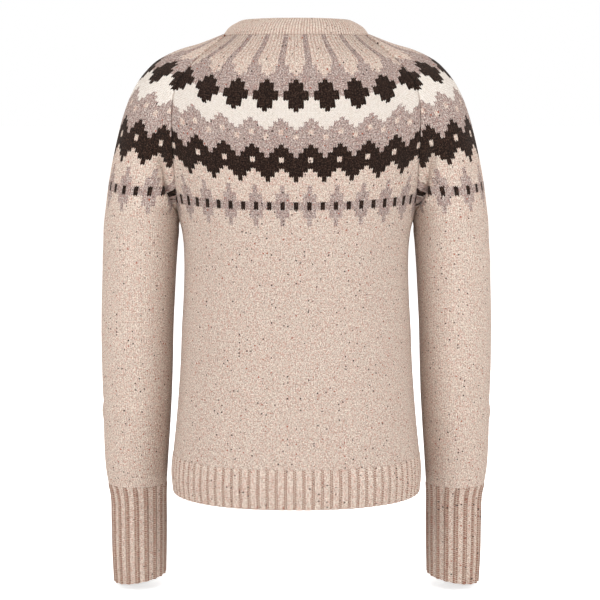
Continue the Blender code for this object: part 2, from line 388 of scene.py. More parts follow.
def panel_points(side):
    """The outer face of a back or front as a grid of points, with its stitches and rows."""
    fractions = closer_at_edges(PANEL_ACROSS)
    sections, lengths = [], []
    for middle, seam, power in zip(YOKE_MIDDLE, YOKE_SEAMS, YOKE_POWERS):
        line = across(
            getattr(middle, side + "_y"), getattr(middle, side + "_z"),
            seam.x, getattr(seam, side + "_y"), getattr(seam, side + "_z"), power,
        )
        lengths.append(length_of(line))
        sections.append(even(line, fractions, SEAM_GAP / 2))
    for level in TORSO:
        line = across(
            getattr(level, side + "_y"), getattr(level, side + "_z"),
            level.half_width, 0, level.side_z, TORSO_POWER,
        )
        sections.append(even(line, fractions, SEAM_GAP / 2))
    lengths += [lengths[-1]] * len(TORSO)
    drops = [YOKE_MIDDLE[-1].back_z - level.back_z for level in TORSO]
    return knitted_grid(
        sections, lengths, drops, PANEL_DOWN, fractions, PANEL_LIFT, PANEL_LIFT_REACH
    )


def corners(grid):
    """The values at the four corners of every cell of a grid, cell after cell."""
    cells = (grid[:-1, :-1], grid[1:, :-1], grid[1:, 1:], grid[:-1, 1:])
    return np.stack(cells, axis=-1).reshape(-1)


UV_UNIT = 100
FREE_EDGE_ANGLE = math.radians(60)
SMOOTH_ANGLE = math.radians(55)


def grid_object(name, points, columns, rows, closed, materials):
    """A grid of points as a mesh. Its UV map counts stitches and rows, 100 of them to a unit."""
    downs, acrosses = points.shape[:2]
    index = np.arange(downs * acrosses).reshape(downs, acrosses)
    if closed:
        index = np.column_stack((index, index[:, 0]))
        columns = np.column_stack((columns, 2 * columns[:, -1] - columns[:, -2]))
        rows = np.column_stack((rows, rows[:, 0]))
    faces = corners(index)
    mesh = bpy.data.meshes.new(name)
    mesh.vertices.add(downs * acrosses)
    mesh.vertices.foreach_set("co", points.reshape(-1))
    mesh.loops.add(len(faces))
    mesh.loops.foreach_set("vertex_index", faces)
    mesh.polygons.add(len(faces) // 4)
    mesh.polygons.foreach_set("loop_start", np.arange(0, len(faces), 4))
    mesh.polygons.foreach_set("loop_total", np.full(len(faces) // 4, 4))
    mesh.update(calc_edges=True)
    counted = mesh.uv_layers.new(name="stitches")
    places = np.column_stack((corners(columns) / UV_UNIT, corners(rows) / UV_UNIT))
    counted.data.foreach_set("uv", places.reshape(-1))
    mesh.validate()
    for material in materials:
        mesh.materials.append(material)
    piece = bpy.data.objects.new(name, mesh)
    bpy.context.scene.collection.objects.link(piece)
    return piece


def finish_cloth(piece, rounding=0):
    """A wall's thickness laid inwards, rounded edges where they are free, and smooth shading."""
    bpy.ops.object.select_all(action="DESELECT")
    piece.select_set(True)
    bpy.context.view_layer.objects.active = piece
    thick = piece.modifiers.new("wall", "SOLIDIFY")
    thick.thickness = WALL
    thick.offset = -1
    thick.use_even_offset = True
    thick.material_offset = 1
    thick.material_offset_rim = 0
    bpy.ops.object.modifier_apply(modifier="wall")
    if rounding:
        edge = piece.modifiers.new("edge", "BEVEL")
        edge.width = rounding
        edge.segments = 2
        edge.limit_method = "ANGLE"
        edge.angle_limit = FREE_EDGE_ANGLE
        bpy.ops.object.modifier_apply(modifier="edge")
    bpy.ops.object.shade_smooth_by_angle(angle=SMOOTH_ANGLE)
    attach(piece, "root")


class Nodes:
    """A node tree that is being built, with short ways to add and join its nodes."""

    def __init__(self, tree):
        self.tree = tree

    def put(self, target, value):
        """A value or another node's output, put into a socket."""
        if isinstance(value, bpy.types.NodeSocket):
            self.tree.links.new(value, target)
        else:
            target.default_value = value

    def math(self, operation, *values, clamp=False):
        node = self.tree.nodes.new("ShaderNodeMath")
        node.operation = operation
        node.use_clamp = clamp
        for socket, value in zip(node.inputs, values):
            self.put(socket, value)
        return node.outputs[0]

    def plus(self, first, second, clamp=False):
        return self.math("ADD", first, second, clamp=clamp)

    def minus(self, first, second):
        return self.math("SUBTRACT", first, second)

    def times(self, first, second, clamp=False):
        return self.math("MULTIPLY", first, second, clamp=clamp)

    def mix(self, share, first, second, blend="MIX"):
        node = self.tree.nodes.new("ShaderNodeMix")
        node.data_type = "RGBA"
        node.blend_type = blend
        self.put(node.inputs["Factor"], share)
        self.put(node.inputs["A"], first)
        self.put(node.inputs["B"], second)
        return node.outputs["Result"]

    def range(self, value, low, high, to_low=0.0, to_high=1.0):
        """A soft step from one number to another, while the value goes from low to high."""
        node = self.tree.nodes.new("ShaderNodeMapRange")
        node.interpolation_type = "SMOOTHSTEP"
        self.put(node.inputs["Value"], value)
        node.inputs["From Min"].default_value = low
        node.inputs["From Max"].default_value = high
        node.inputs["To Min"].default_value = to_low
        node.inputs["To Max"].default_value = to_high
        return node.outputs["Result"]

    def split(self, vector):
        node = self.tree.nodes.new("ShaderNodeSeparateXYZ")
        self.put(node.inputs[0], vector)
        return node.outputs

    def join(self, x, y, z=0.0):
        node = self.tree.nodes.new("ShaderNodeCombineXYZ")
        for socket, value in zip(node.inputs, (x, y, z)):
            self.put(socket, value)
        return node.outputs[0]

    def noise(self, place, scale, detail, roughness=0.5):
        """Uneven grain with so many waves to a unit of place."""
        node = self.tree.nodes.new("ShaderNodeTexNoise")
        node.noise_dimensions = "3D"
        self.put(node.inputs["Vector"], place)
        node.inputs["Scale"].default_value = scale
        node.inputs["Detail"].default_value = detail
        node.inputs["Roughness"].default_value = roughness
        return node.outputs["Fac"]

    def steps(self, value, stops):
        """A ramp that keeps each stop's colour up to the next stop."""
        node = self.tree.nodes.new("ShaderNodeValToRGB")
        ramp = node.color_ramp
        ramp.interpolation = "CONSTANT"
        for place, _ in stops[2:]:
            ramp.elements.new(place)
        for element, (place, _) in zip(ramp.elements, stops):
            element.position = place
        for element, (_, colour) in zip(ramp.elements, stops):
            element.color = (*colour, 1)
        self.put(node.inputs["Fac"], value)
        return node.outputs["Color"]

    def strands(self, leg):
        """A colour of its own for every leg of every stitch."""
        node = self.tree.nodes.new("ShaderNodeTexWhiteNoise")
        node.noise_dimensions = "2D"
        self.put(node.inputs["Vector"], leg)
        return node.outputs

    def chosen(self, choice, yes, no):
        """yes where the choice is 1, and no where it is 0."""
        return self.plus(self.times(yes, choice), self.times(no, self.minus(1, choice)))

    def use(self, group, **values):
        """A group placed in this tree, with its inputs filled."""
        node = self.tree.nodes.new("ShaderNodeGroup")
        node.node_tree = group
        for socket, value in values.items():
            self.put(node.inputs[socket], value)
        return node.outputs


def new_group(name, inputs, outputs):
    """An empty shader group with named sockets, and its input and output nodes."""
    group = bpy.data.node_groups.new(name, "ShaderNodeTree")
    for socket, kind in inputs:
        group.interface.new_socket(socket, in_out="INPUT", socket_type="NodeSocket" + kind)
    for socket, kind in outputs:
        group.interface.new_socket(socket, in_out="OUTPUT", socket_type="NodeSocket" + kind)
    start = group.nodes.new("NodeGroupInput")
    end = group.nodes.new("NodeGroupOutput")
    return group, Nodes(group), start.outputs, end.inputs


# The face of stocking stitch: columns of V-shaped stitches, each leg a rounded strand. Its
# place is counted in stitches and rows, and its height runs from 0 to 1. Its shade output is
# painted shade on the low parts beside each strand.
LEG_SLOPE = 0.85
LEG_ROUNDNESS = 0.6
LEG_END_ROUNDNESS = 0.45
ABOVE_ZERO = 0.0001
# Heights between which the painted shade beside a strand fades out.
FACE_SHADE = (0.1, 0.75)
REVERSE_SHADE = (0.05, 0.6)
face, nodes, given, result = new_group(
    "knit face", [("Stitches", "Vector")],
    [("Column", "Float"), ("Row", "Float"), ("Leg", "Vector"), ("Height", "Float"),
     ("Depth", "Float")],
)
u, r, _ = nodes.split(given["Stitches"])
column = nodes.math("FLOOR", u)
beside = nodes.math("ABSOLUTE", nodes.minus(nodes.minus(u, column), 0.5))
beside = nodes.times(beside, 2)
lowered = nodes.times(nodes.minus(1, beside), LEG_SLOPE)
on_leg = nodes.minus(r, lowered)
knit_row = nodes.math("FLOOR", on_leg)
along_leg = nodes.minus(on_leg, knit_row)
round_leg = nodes.math("SINE", nodes.times(along_leg, math.pi))
round_side = nodes.math("SINE", nodes.times(beside, math.pi))
round_side = nodes.math("POWER", nodes.math("MAXIMUM", round_side, ABOVE_ZERO), LEG_END_ROUNDNESS)
strand = nodes.times(nodes.math("POWER", round_leg, LEG_ROUNDNESS), round_side)
nodes.put(result["Column"], column)
nodes.put(result["Row"], knit_row)
leg = nodes.math("FLOOR", nodes.times(u, 2))
nodes.put(result["Leg"], nodes.join(leg, knit_row))
nodes.put(result["Height"], strand)
nodes.put(result["Depth"], nodes.range(strand, *FACE_SHADE, 1.0, 0.0))

# The other face: rows of small bumps, where each stitch's head lies over the next. Its shade
# output is painted shade between the bumps.
HEAD_WAVE = 0.22
reverse, nodes, given, result = new_group(
    "knit reverse", [("Stitches", "Vector")], [("Height", "Float"), ("Depth", "Float")],
)
u, r, _ = nodes.split(given["Stitches"])
half_row = nodes.times(nodes.math("FLOOR", nodes.times(r, 2)), 0.5)
wave = nodes.math("COSINE", nodes.times(nodes.plus(u, half_row), 2 * math.pi))
bump_row = nodes.math("FRACT", nodes.plus(r, nodes.times(wave, HEAD_WAVE)))
bump_row = nodes.math("SINE", nodes.times(bump_row, math.pi))
nodes.put(result["Height"], bump_row)
nodes.put(result["Depth"], nodes.range(bump_row, *REVERSE_SHADE, 1.0, 0.0))

# Carded wool: four yarns, each spun from lighter and darker fibres with small neps.
# A yarn's code is the middle of its share of the numbers from 0 to 1.
YARNS = {
    "oatmeal": SimpleNamespace(
        plain=(0.65, 0.545, 0.465), light=(0.88, 0.79, 0.69),
        dark=(0.39, 0.29, 0.24), warm=(0.58, 0.33, 0.265),
    ),
    "grey": SimpleNamespace(
        plain=(0.405, 0.32, 0.287), light=(0.70, 0.61, 0.55),
        dark=(0.18, 0.13, 0.12), warm=(0.37, 0.21, 0.18),
    ),
    "dark": SimpleNamespace(
        plain=(0.017, 0.0095, 0.007), light=(0.072, 0.043, 0.031),
        dark=(0.007, 0.0045, 0.0035), warm=(0.04, 0.019, 0.013),
    ),
    "ecru": SimpleNamespace(
        plain=(0.79, 0.73, 0.67), light=(0.84, 0.79, 0.73),
        dark=(0.66, 0.60, 0.53), warm=(0.75, 0.66, 0.585),
    ),
}
YARN_SHARE = 1 / len(YARNS)
YARN_CODES = {name: (order + 0.5) * YARN_SHARE for order, name in enumerate(YARNS)}
FLECKED_BELOW = 2 * YARN_SHARE
# The marl: waves of grain to a millimetre, how much each leg of a stitch adds to the grain,
# and between which tones the dark, the light and the warm fibres come in.
MARL_GRAIN = 0.66
MARL_ROUGHNESS = 0.7
LEG_TONE = 0.14
DARK_TONES = (0.38, 0.55)
LIGHT_TONES = (0.6, 0.78)
WARM_GRAIN = 0.6
WARM_SLICE = 9.0
LEG_WARMTH = 0.25
WARM_TONES = (0.6, 0.78)
WARMTH_SHARE = 0.75
FUZZ_GRAIN = 3.2
# Neps lie in cells of 5 mm, with radii as shares of a cell. Only some cells have one, and
# some of those are red.
NEP_CELLS = 0.2
NEP_FROM = 0.88
NEP_RADII = (0.1, 0.2)
NEP_GRAIN = 2.6
NEP_RAGGED = 0.22
NEP_COVER = 0.95
RED_FROM = 0.68
NEP_DARK = (0.05, 0.03, 0.025, 1)
NEP_RED = (0.36, 0.10, 0.06, 1)
# The colour towards which the wool is painted where shade falls: between strands, in gaps and in
# gather valleys.
IN_SHADE = (0.40, 0.27, 0.22, 1)
wool, nodes, given, result = new_group(
    "flecked wool",
    [("Yarn", "Float"), ("Stitches", "Vector"), ("Leg", "Vector"), ("Depth", "Float")],
    [("Color", "Color"), ("Fuzz", "Float")],
)
u, r, _ = nodes.split(given["Stitches"])
mm_across = nodes.times(u, STITCH / MM)
mm_down = nodes.times(r, ROW / MM)
place = nodes.join(mm_across, mm_down)
elsewhere = nodes.join(mm_across, mm_down, WARM_SLICE)
plain, light, dark, warm = [
    nodes.steps(given["Yarn"], [
        (order * YARN_SHARE, getattr(yarn, fibre)) for order, yarn in enumerate(YARNS.values())
    ])
    for fibre in ("plain", "light", "dark", "warm")
]
leg_tone, leg_warmth, _ = nodes.split(nodes.strands(given["Leg"])["Color"])
tone = nodes.noise(place, MARL_GRAIN, 1.0, MARL_ROUGHNESS)
tone = nodes.plus(nodes.times(leg_tone, LEG_TONE), tone)
warmth = nodes.noise(elsewhere, WARM_GRAIN, 1.0, MARL_ROUGHNESS)
warmth = nodes.plus(nodes.times(leg_warmth, LEG_WARMTH), warmth)
colour = nodes.mix(nodes.range(warmth, *WARM_TONES, 0.0, WARMTH_SHARE), plain, warm)
colour = nodes.mix(nodes.range(tone, *LIGHT_TONES), colour, light)
colour = nodes.mix(nodes.range(tone, *DARK_TONES, 1.0, 0.0), colour, dark)
cells = nodes.tree.nodes.new("ShaderNodeTexVoronoi")
cells.voronoi_dimensions = "2D"
cells.inputs["Scale"].default_value = NEP_CELLS
nodes.put(cells.inputs["Vector"], place)
cell_size, cell_kind, _ = nodes.split(cells.outputs["Color"])
nep_size = nodes.range(cell_size, 0.85, 1.0, *NEP_RADII)
ragged = nodes.times(nodes.minus(nodes.noise(place, NEP_GRAIN, 1.0), 0.5), NEP_RAGGED)
from_nep = nodes.plus(cells.outputs["Distance"], ragged)
nep = nodes.math("LESS_THAN", from_nep, nep_size)
nep = nodes.times(nep, nodes.math("GREATER_THAN", cell_size, NEP_FROM))
nep = nodes.times(nep, nodes.math("LESS_THAN", given["Yarn"], FLECKED_BELOW))
nep_colour = nodes.mix(nodes.math("GREATER_THAN", cell_kind, RED_FROM), NEP_DARK, NEP_RED)
colour = nodes.mix(nodes.times(nep, NEP_COVER), colour, nep_colour)
# Painted shade: the yarn's colour darkens towards IN_SHADE by the given shade.
shade = nodes.mix(given["Depth"], WHITE, IN_SHADE)
nodes.put(result["Color"], nodes.mix(1.0, colour, shade, "MULTIPLY"))
nodes.put(result["Fuzz"], nodes.noise(place, FUZZ_GRAIN, 3.0, MARL_ROUGHNESS))

# The yoke's chart, counted down from the neck seam. The repeat is 12 stitches wide. A motif
# on the line is centred on the middle of a panel, and one between is centred 6 stitches on.
REPEAT = 12
CHART = (
    # row, yarn on the line, stitches, ground, yarn between, stitches
    (0, "oatmeal", 0, "oatmeal", "grey", 3),
    (18, "oatmeal", 6, "grey", "grey", 0),
    (23, "oatmeal", 2, "grey", "grey", 0),
    (25, "grey", 0, "grey", "grey", 0),
    (27, "dark", 2, "grey", "grey", 0),
    (29, "dark", 6, "grey", "grey", 0),
    (34, "dark", 10, "grey", "grey", 0),
    (38, "dark", 10, "ecru", "grey", 0),
    (40, "dark", 6, "ecru", "grey", 0),
    (45, "dark", 2, "ecru", "grey", 0),
    (47, "ecru", 0, "ecru", "grey", 0),
    (51, "ecru", 0, "ecru", "grey", 2),
    (53, "ecru", 0, "ecru", "grey", 6),
    (56, "ecru", 0, "ecru", "grey", 10),
    (58, "grey", 0, "grey", "oatmeal", 2),
    (61, "oatmeal", 2, "grey", "grey", 0),
    (64, "grey", 0, "grey", "grey", 0),
    (67, "grey", 0, "grey", "dark", 2),
    (69, "grey", 0, "grey", "dark", 6),
    (72, "grey", 0, "grey", "dark", 10),
    (75, "dark", 0, "dark", "oatmeal", 2),
    (78, "dark", 0, "dark", "dark", 0),
    (82, "dark", 0, "dark", "oatmeal", 2),
    (84, "dark", 0, "dark", "oatmeal", 6),
    (87, "dark", 0, "dark", "oatmeal", 10),
    (90, "oatmeal", 0, "oatmeal", "grey", 0),
    (92, "oatmeal", 0, "oatmeal", "grey", 2),
    (97, "oatmeal", 0, "oatmeal", "grey", 6),
    (102, "dark", 2, "grey", "dark", 2),
    (107, "oatmeal", 0, "oatmeal", "grey", 6),
    (112, "oatmeal", 0, "oatmeal", "grey", 2),
    (117, "oatmeal", 0, "oatmeal", "grey", 0),
)
CHART_LENGTH = 128
chart, nodes, given, result = new_group(
    "yoke chart", [("Column", "Float"), ("Row", "Float")], [("Yarn", "Float")],
)
share = nodes.math("DIVIDE", nodes.plus(given["Column"], 0.5), REPEAT)
past_line = nodes.times(nodes.math("FRACT", nodes.plus(share, 100)), REPEAT)
past_between = nodes.minus(past_line, REPEAT / 2)
from_line = nodes.minus(REPEAT / 2, nodes.math("ABSOLUTE", past_between))
down_chart = nodes.math("DIVIDE", nodes.plus(given["Row"], 0.5), CHART_LENGTH)
widths = nodes.steps(down_chart, [
    (row / CHART_LENGTH, (line_width / 2 / REPEAT, between_width / 2 / REPEAT, between_width % 2))
    for row, _, line_width, _, _, between_width in CHART
])
codes = nodes.steps(down_chart, [
    (row / CHART_LENGTH, (YARN_CODES[line], YARN_CODES[ground], YARN_CODES[between]))
    for row, line, _, ground, between, _ in CHART
])
line_half, between_half, odd = nodes.split(widths)
past_between = nodes.minus(past_between, nodes.times(odd, 0.5))
from_between = nodes.math("ABSOLUTE", past_between)
line_code, ground_code, between_code = nodes.split(codes)
on_line = nodes.math("LESS_THAN", from_line, nodes.times(line_half, REPEAT))
on_between = nodes.math("LESS_THAN", from_between, nodes.times(between_half, REPEAT))
code = nodes.chosen(on_line, line_code, ground_code)
code = nodes.chosen(on_between, between_code, code)
nodes.put(result["Yarn"], code)


def wool_material(name, height):
    """A matt, slightly hairy material. Gives its nodes, stitch count, shader and bump too."""
    material = bpy.data.materials.new(name)
    material.use_nodes = True
    nodes = Nodes(material.node_tree)
    shader = material.node_tree.nodes["Principled BSDF"]
    shader.inputs["Roughness"].default_value = 0.92
    shader.inputs["Specular IOR Level"].default_value = 0.09
    shader.inputs["Sheen Weight"].default_value = 0.05
    shader.inputs["Sheen Roughness"].default_value = 0.45
    shader.inputs["Sheen Tint"].default_value = (1, 0.93, 0.87, 1)
    counted = material.node_tree.nodes.new("ShaderNodeUVMap")
    counted.uv_map = "stitches"
    scaled = material.node_tree.nodes.new("ShaderNodeVectorMath")
    scaled.operation = "SCALE"
    scaled.inputs["Scale"].default_value = UV_UNIT
    nodes.put(scaled.inputs[0], counted.outputs["UV"])
    bump = material.node_tree.nodes.new("ShaderNodeBump")
    bump.inputs["Strength"].default_value = 0.9
    bump.inputs["Distance"].default_value = height
    nodes.put(shader.inputs["Normal"], bump.outputs["Normal"])
    return material, nodes, scaled.outputs[0], shader, bump


# The cloth is drawn in below the neck seam, in small gathers two stitches wide that fade out
# over some rows, with painted shade in their valleys. The dark yarn shows its stitches by deeper
# painted shade than the pale ones.
STITCH_RELIEF = 0.55 * MM
FUZZ_RELIEF = 0.45
GATHER = 2.0
GATHER_RELIEF = 0.7
GATHER_ROWS = (4, 22)
VALLEY = (-1.0, -0.1)
VALLEY_SHADE = 0.38
PALE_STITCH_SHADE = 0.3
DARK_STITCH_SHADE = 0.5
DARK_CODES = (0.45, 0.6)
knit, nodes, counted, shader, bump = wool_material("patterned knit", STITCH_RELIEF)
stitch = nodes.use(face, Stitches=counted)
yarn = nodes.use(chart, Column=stitch["Column"], Row=stitch["Row"])
across_gathers, down_gathers, _ = nodes.split(counted)
gather = nodes.math("COSINE", nodes.times(across_gathers, 2 * math.pi / GATHER))
drawn_in = nodes.range(down_gathers, *GATHER_ROWS, 1.0, 0.0)
# Painted shade in the valleys of the gathers.
painted_valley_shade = nodes.times(nodes.range(gather, *VALLEY, VALLEY_SHADE, 0.0), drawn_in)
shaded = nodes.range(yarn["Yarn"], *DARK_CODES, PALE_STITCH_SHADE, DARK_STITCH_SHADE)
depth = nodes.plus(nodes.times(stitch["Depth"], shaded), painted_valley_shade)
spun = nodes.use(wool, Yarn=yarn["Yarn"], Stitches=counted, Leg=stitch["Leg"], Depth=depth)
height = nodes.plus(stitch["Height"], nodes.times(spun["Fuzz"], FUZZ_RELIEF))
gather = nodes.times(gather, drawn_in)
height = nodes.plus(height, nodes.times(gather, GATHER_RELIEF))
nodes.put(bump.inputs["Height"], height)
nodes.put(shader.inputs["Base Color"], spun["Color"])

inside, nodes, counted, shader, bump = wool_material("knit inside", STITCH_RELIEF)
stitch = nodes.use(reverse, Stitches=counted)
outer = nodes.use(face, Stitches=counted)
yarn = nodes.use(chart, Column=outer["Column"], Row=outer["Row"])
depth = nodes.times(stitch["Depth"], PALE_STITCH_SHADE)
spun = nodes.use(wool, Yarn=yarn["Yarn"], Stitches=counted, Leg=outer["Leg"], Depth=depth)
height = nodes.plus(stitch["Height"], nodes.times(spun["Fuzz"], FUZZ_RELIEF))
nodes.put(bump.inputs["Height"], height)
nodes.put(shader.inputs["Base Color"], spun["Color"])

for name, creases, leans, length in (
    ("back", BACK_CREASES, BACK_LEANS, 0.53),
    ("front", FRONT_CREASES, FRONT_LEANS, 0.47),
):
    points, columns, rows = panel_points(name)
    if name == "front":
        points, columns, rows = points[:, ::-1], -columns[:, ::-1], rows[:, ::-1]
    points = creased(points, creases, leans)
    points = eased_seams(points, rows)
    piece = grid_object(name + "_knit", points, columns, rows, False, (knit, inside))
    finish_cloth(piece)
    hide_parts(name)


# The sleeves. Each is one panel of the same knitting, sewn to itself under the arm and to
# the body along the raglan seams, narrowing a little down to its cuff.
SLEEVE_ACROSS = 132
SLEEVE_DOWN = (64, 92)
SLEEVE_LIFT = (
    (0, 2), (15, 4), (35, 4), (50, 0.5), (84, 0), (96, 2.5), (104, 4), (117, 3), (140, 0),
)
SLEEVE_LIFT_REACH = 0.3
# Sections of the sleeve's top at the same rows. The fold is a trough beside each raglan seam.
YOKE_SLEEVE = table("outer_x outer_z middle_y half_width half_depth fold_at fold_depth", (
    (85, 0, 0, 22, 42, 20, 0),
    (111, -10, 0, 28, 46, 20, 0),
    (136, -17.5, 0, 38, 54, 20, 0),
    (158.5, -28.5, 0, 54.8, 62.4, 20, 0),
    (172, -40.5, 0, 59.3, 68, 20, 0),
    (183.5, -55.5, 0, 58.7, 70.5, 20, 0),
    (193, -74.5, -0.5, 58, 72, 20, 0),
    (200.4, -95.5, -0.5, 54, 69, 19, 0.5),
    (206.5, -118, -1, 48, 65, 17, 4),
    (211.8, -141, -1.5, 43.5, 61.5, 13, 11),
    (216, -162, -2, 41, 59, 8.5, 14),
    (219.2, -182, -2.5, 40.8, 57.5, 5, 11),
    (221, -196, -3, 41.25, 56.5, 4, 6),
))
# How far round from the outermost point each section reaches to its seams, in degrees.
YOKE_TURNS = (35, 50, 60, 66, 70, 78, 86, 95, 105, 118, 134, 158, 180)
SEAM_PULL = 4
FOLD_SHARPNESS = 5
SLEEVE = table("outer_z inner_z outer_x inner_x middle_y half_depth", (
    (-215, -222, 222.9, 140, -3.5, 55.5),
    (-236, -240, 224, 141.3, -4, 54.5),
    (-265, -267, 225.7, 143.4, -5, 53.5),
    (-300, -301, 227.7, 145.5, -7, 52),
    (-340, -340, 229, 147.6, -9, 50.5),
    (-380, -380, 229.2, 148.8, -11, 49),
    (-420, -420, 228.7, 150.5, -13, 47),
    (-460, -460, 228.3, 153, -15, 44.5),
    (-492, -492, 227.7, 155.4, -16.5, 41.5),
    (-512, -512, 226.6, 156.8, -17.5, 39),
    (-529.15, -529.15, 224, 158, -18, 36.5),
))
SLEEVE_CREASES = table("across down length width depth", (
    (-96, 250, 40, 12, 2.0),
    (-104, 278, 34, 12, 1.6),
    (88, 262, 40, 13, 1.7),
    (30, 330, 50, 18, 0.9),
    (-40, 300, 56, 17, 0.9),
    (-70, 420, 40, 14, 1.0),
    (60, 455, 44, 13, 1.0),
    (-20, 508, 60, 7, 1.1),
    (55, 514, 50, 6, 1.0),
    (-80, 500, 46, 7, 1.2),
    (10, 496, 70, 6, -0.7),
))
SLEEVE_LEANS = (18, -12, -20, 14, -16, 12, -10, 3, -6, 8, -3)


def round_sleeve(section, turn, back_seam, front_seam):
    """A fine line round a sleeve, from the back seam over the shoulder to the front seam."""
    share = np.linspace(1, -1, 2 * FINE_STEPS + 1)
    angle = share * turn
    x = section.outer_x - section.half_width * (1 - np.cos(angle))
    y = section.middle_y + section.half_depth * np.sin(angle)
    drop = (1 - np.cos(angle)) / (1 - math.cos(turn))
    seam = np.where(share[:, None] > 0, back_seam, front_seam)
    end_y = section.middle_y + section.half_depth * np.sin(np.sign(share) * turn)
    pull = np.abs(share) ** SEAM_PULL
    x = x + pull * (seam[:, 0] - x[0])
    y = y + pull * (seam[:, 1] - end_y)
    z = section.outer_z + drop * (seam[:, 2] - section.outer_z)
    return np.column_stack((x, y, z))


def fold(points, at, depth):
    """The line with a soft trough beside each end, pressed towards the sleeve's middle."""
    along = along_line(points)
    from_seam = np.minimum(along, along[-1] - along) / at
    trough = depth * (from_seam * np.exp(1 - from_seam)) ** FOLD_SHARPNESS
    tangent = np.gradient(points[:, :2], axis=0)
    inward = np.column_stack((-tangent[:, 1], tangent[:, 0]))
    inward /= np.linalg.norm(inward, axis=1)[:, None]
    middle = points[len(points) // 2, :2] - points[:, :2]
    inward *= np.sign(np.sum(inward * middle, axis=1))[:, None]
    return points + np.column_stack((inward * trough[:, None], np.zeros(len(points))))


def oval(level):
    """A fine line round a sleeve, from its inner side by the back to its inner side again."""
    angle = np.linspace(math.pi, -math.pi, 2 * FINE_STEPS + 1)
    middle_x = (level.outer_x + level.inner_x) / 2
    half_width = (level.outer_x - level.inner_x) / 2
    x = middle_x + half_width * np.cos(angle)
    y = level.middle_y + level.half_depth * np.sin(angle)
    z = (level.outer_z + level.inner_z + (level.outer_z - level.inner_z) * np.cos(angle)) / 2
    return np.column_stack((x, y, z))


def sleeve_points():
    """The outer face of the left sleeve as a grid of points, with its stitches and rows."""
    fractions = closer_at_edges(SLEEVE_ACROSS)
    sections, lengths = [], []
    for section, seam, turn in zip(YOKE_SLEEVE, YOKE_SEAMS, YOKE_TURNS):
        back_seam = np.array((seam.x, seam.back_y, seam.back_z))
        front_seam = np.array((seam.x, seam.front_y, seam.front_z))
        line = round_sleeve(section, math.radians(turn), back_seam, front_seam)
        lengths.append(length_of(line))
        line = even(line, fractions, SEAM_GAP / 2)
        sections.append(fold(line, section.fold_at, section.fold_depth))
    for level in SLEEVE:
        line = oval(level)
        lengths.append(length_of(line))
        sections.append(even(line, fractions, SEAM_GAP / 2))
    drops = [YOKE_SLEEVE[-1].outer_z - level.outer_z for level in SLEEVE]
    return knitted_grid(
        sections, lengths, drops, SLEEVE_DOWN, fractions, SLEEVE_LIFT, SLEEVE_LIFT_REACH
    )


left_points, left_columns, left_rows = sleeve_points()
left_columns = left_columns + REPEAT / 2
for name, mirror in (("sleeve_left", False), ("sleeve_right", True)):
    points, columns, rows = left_points, left_columns, left_rows
    if mirror:
        points, columns = points[:, ::-1] * (-1, 1, 1), REPEAT - columns[:, ::-1]
    points = creased(points, SLEEVE_CREASES, SLEEVE_LEANS)
    points = eased_seams(points, rows)
    piece = grid_object(name + "_knit", points, columns, rows, False, (knit, inside))
    finish_cloth(piece)
    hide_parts(name)


# The hem: a ring of 2x2 rib in the plain oatmeal wool, knitted on all round from the last row
# of the body and cast off at its edge. Each rib is a ridge of two stitches with a groove.
HEM_RIBS = 82
HEM_POINTS = 14
HEM_RINGS = 26
HEM_RELIEF = 0.75 * MM
HEM = table("z half_width back_y front_y", (
    (-487.15, 146, 119, -115),
    (-512, 147.9, 120, -116),
    (-533.5, 146, 119, -115),
))
EDGE_ROUND = 0.7 * MM
RIB_ROW = 2.7 * MM
RIB_START = 3.5 * MM
RIDGE_HALF = 0.31
GROOVE_HALF = 0.13
RIB_BUMP = 0.35 * MM
RIB_FUZZ = 0.4
# A gap in a groove, painted dark as shade: its half height in rows, dark within the first and
# gone at the second, how soon it is dark from its sides, and how unlike the gaps are.
GAP_HEIGHT = (0.14, 0.38)
GAP_SIDE = 0.7
GAP_STRENGTH = (0.45, 1.35)
LINK_WIDTH = 0.55
LINK_SHADE = 0.55


def closed_loop(back, front, count):
    """Even points all round, from the +X side by the back to the -X side and by the front."""
    line = np.concatenate((back, front[::-1][1:]))
    return even(line, np.arange(count) / count)


def ribbed(loops, ribs, relief, fade):
    """Rings with ridges and grooves, which start softly from the first ring."""
    count = loops.shape[1]
    around = np.roll(loops, -1, axis=1) - np.roll(loops, 1, axis=1)
    down = np.gradient(loops, axis=0)
    normal = np.cross(down, around)
    normal /= np.linalg.norm(normal, axis=2)[:, :, None]
    from_groove = np.abs(ribs * np.arange(count) / count % 1 - 0.5)
    crest = 1 - 2 * np.exp(-(from_groove / GROOVE_HALF) ** 2)
    return loops + normal * (crest * relief)[None, :, None] * fade[:, None, None]


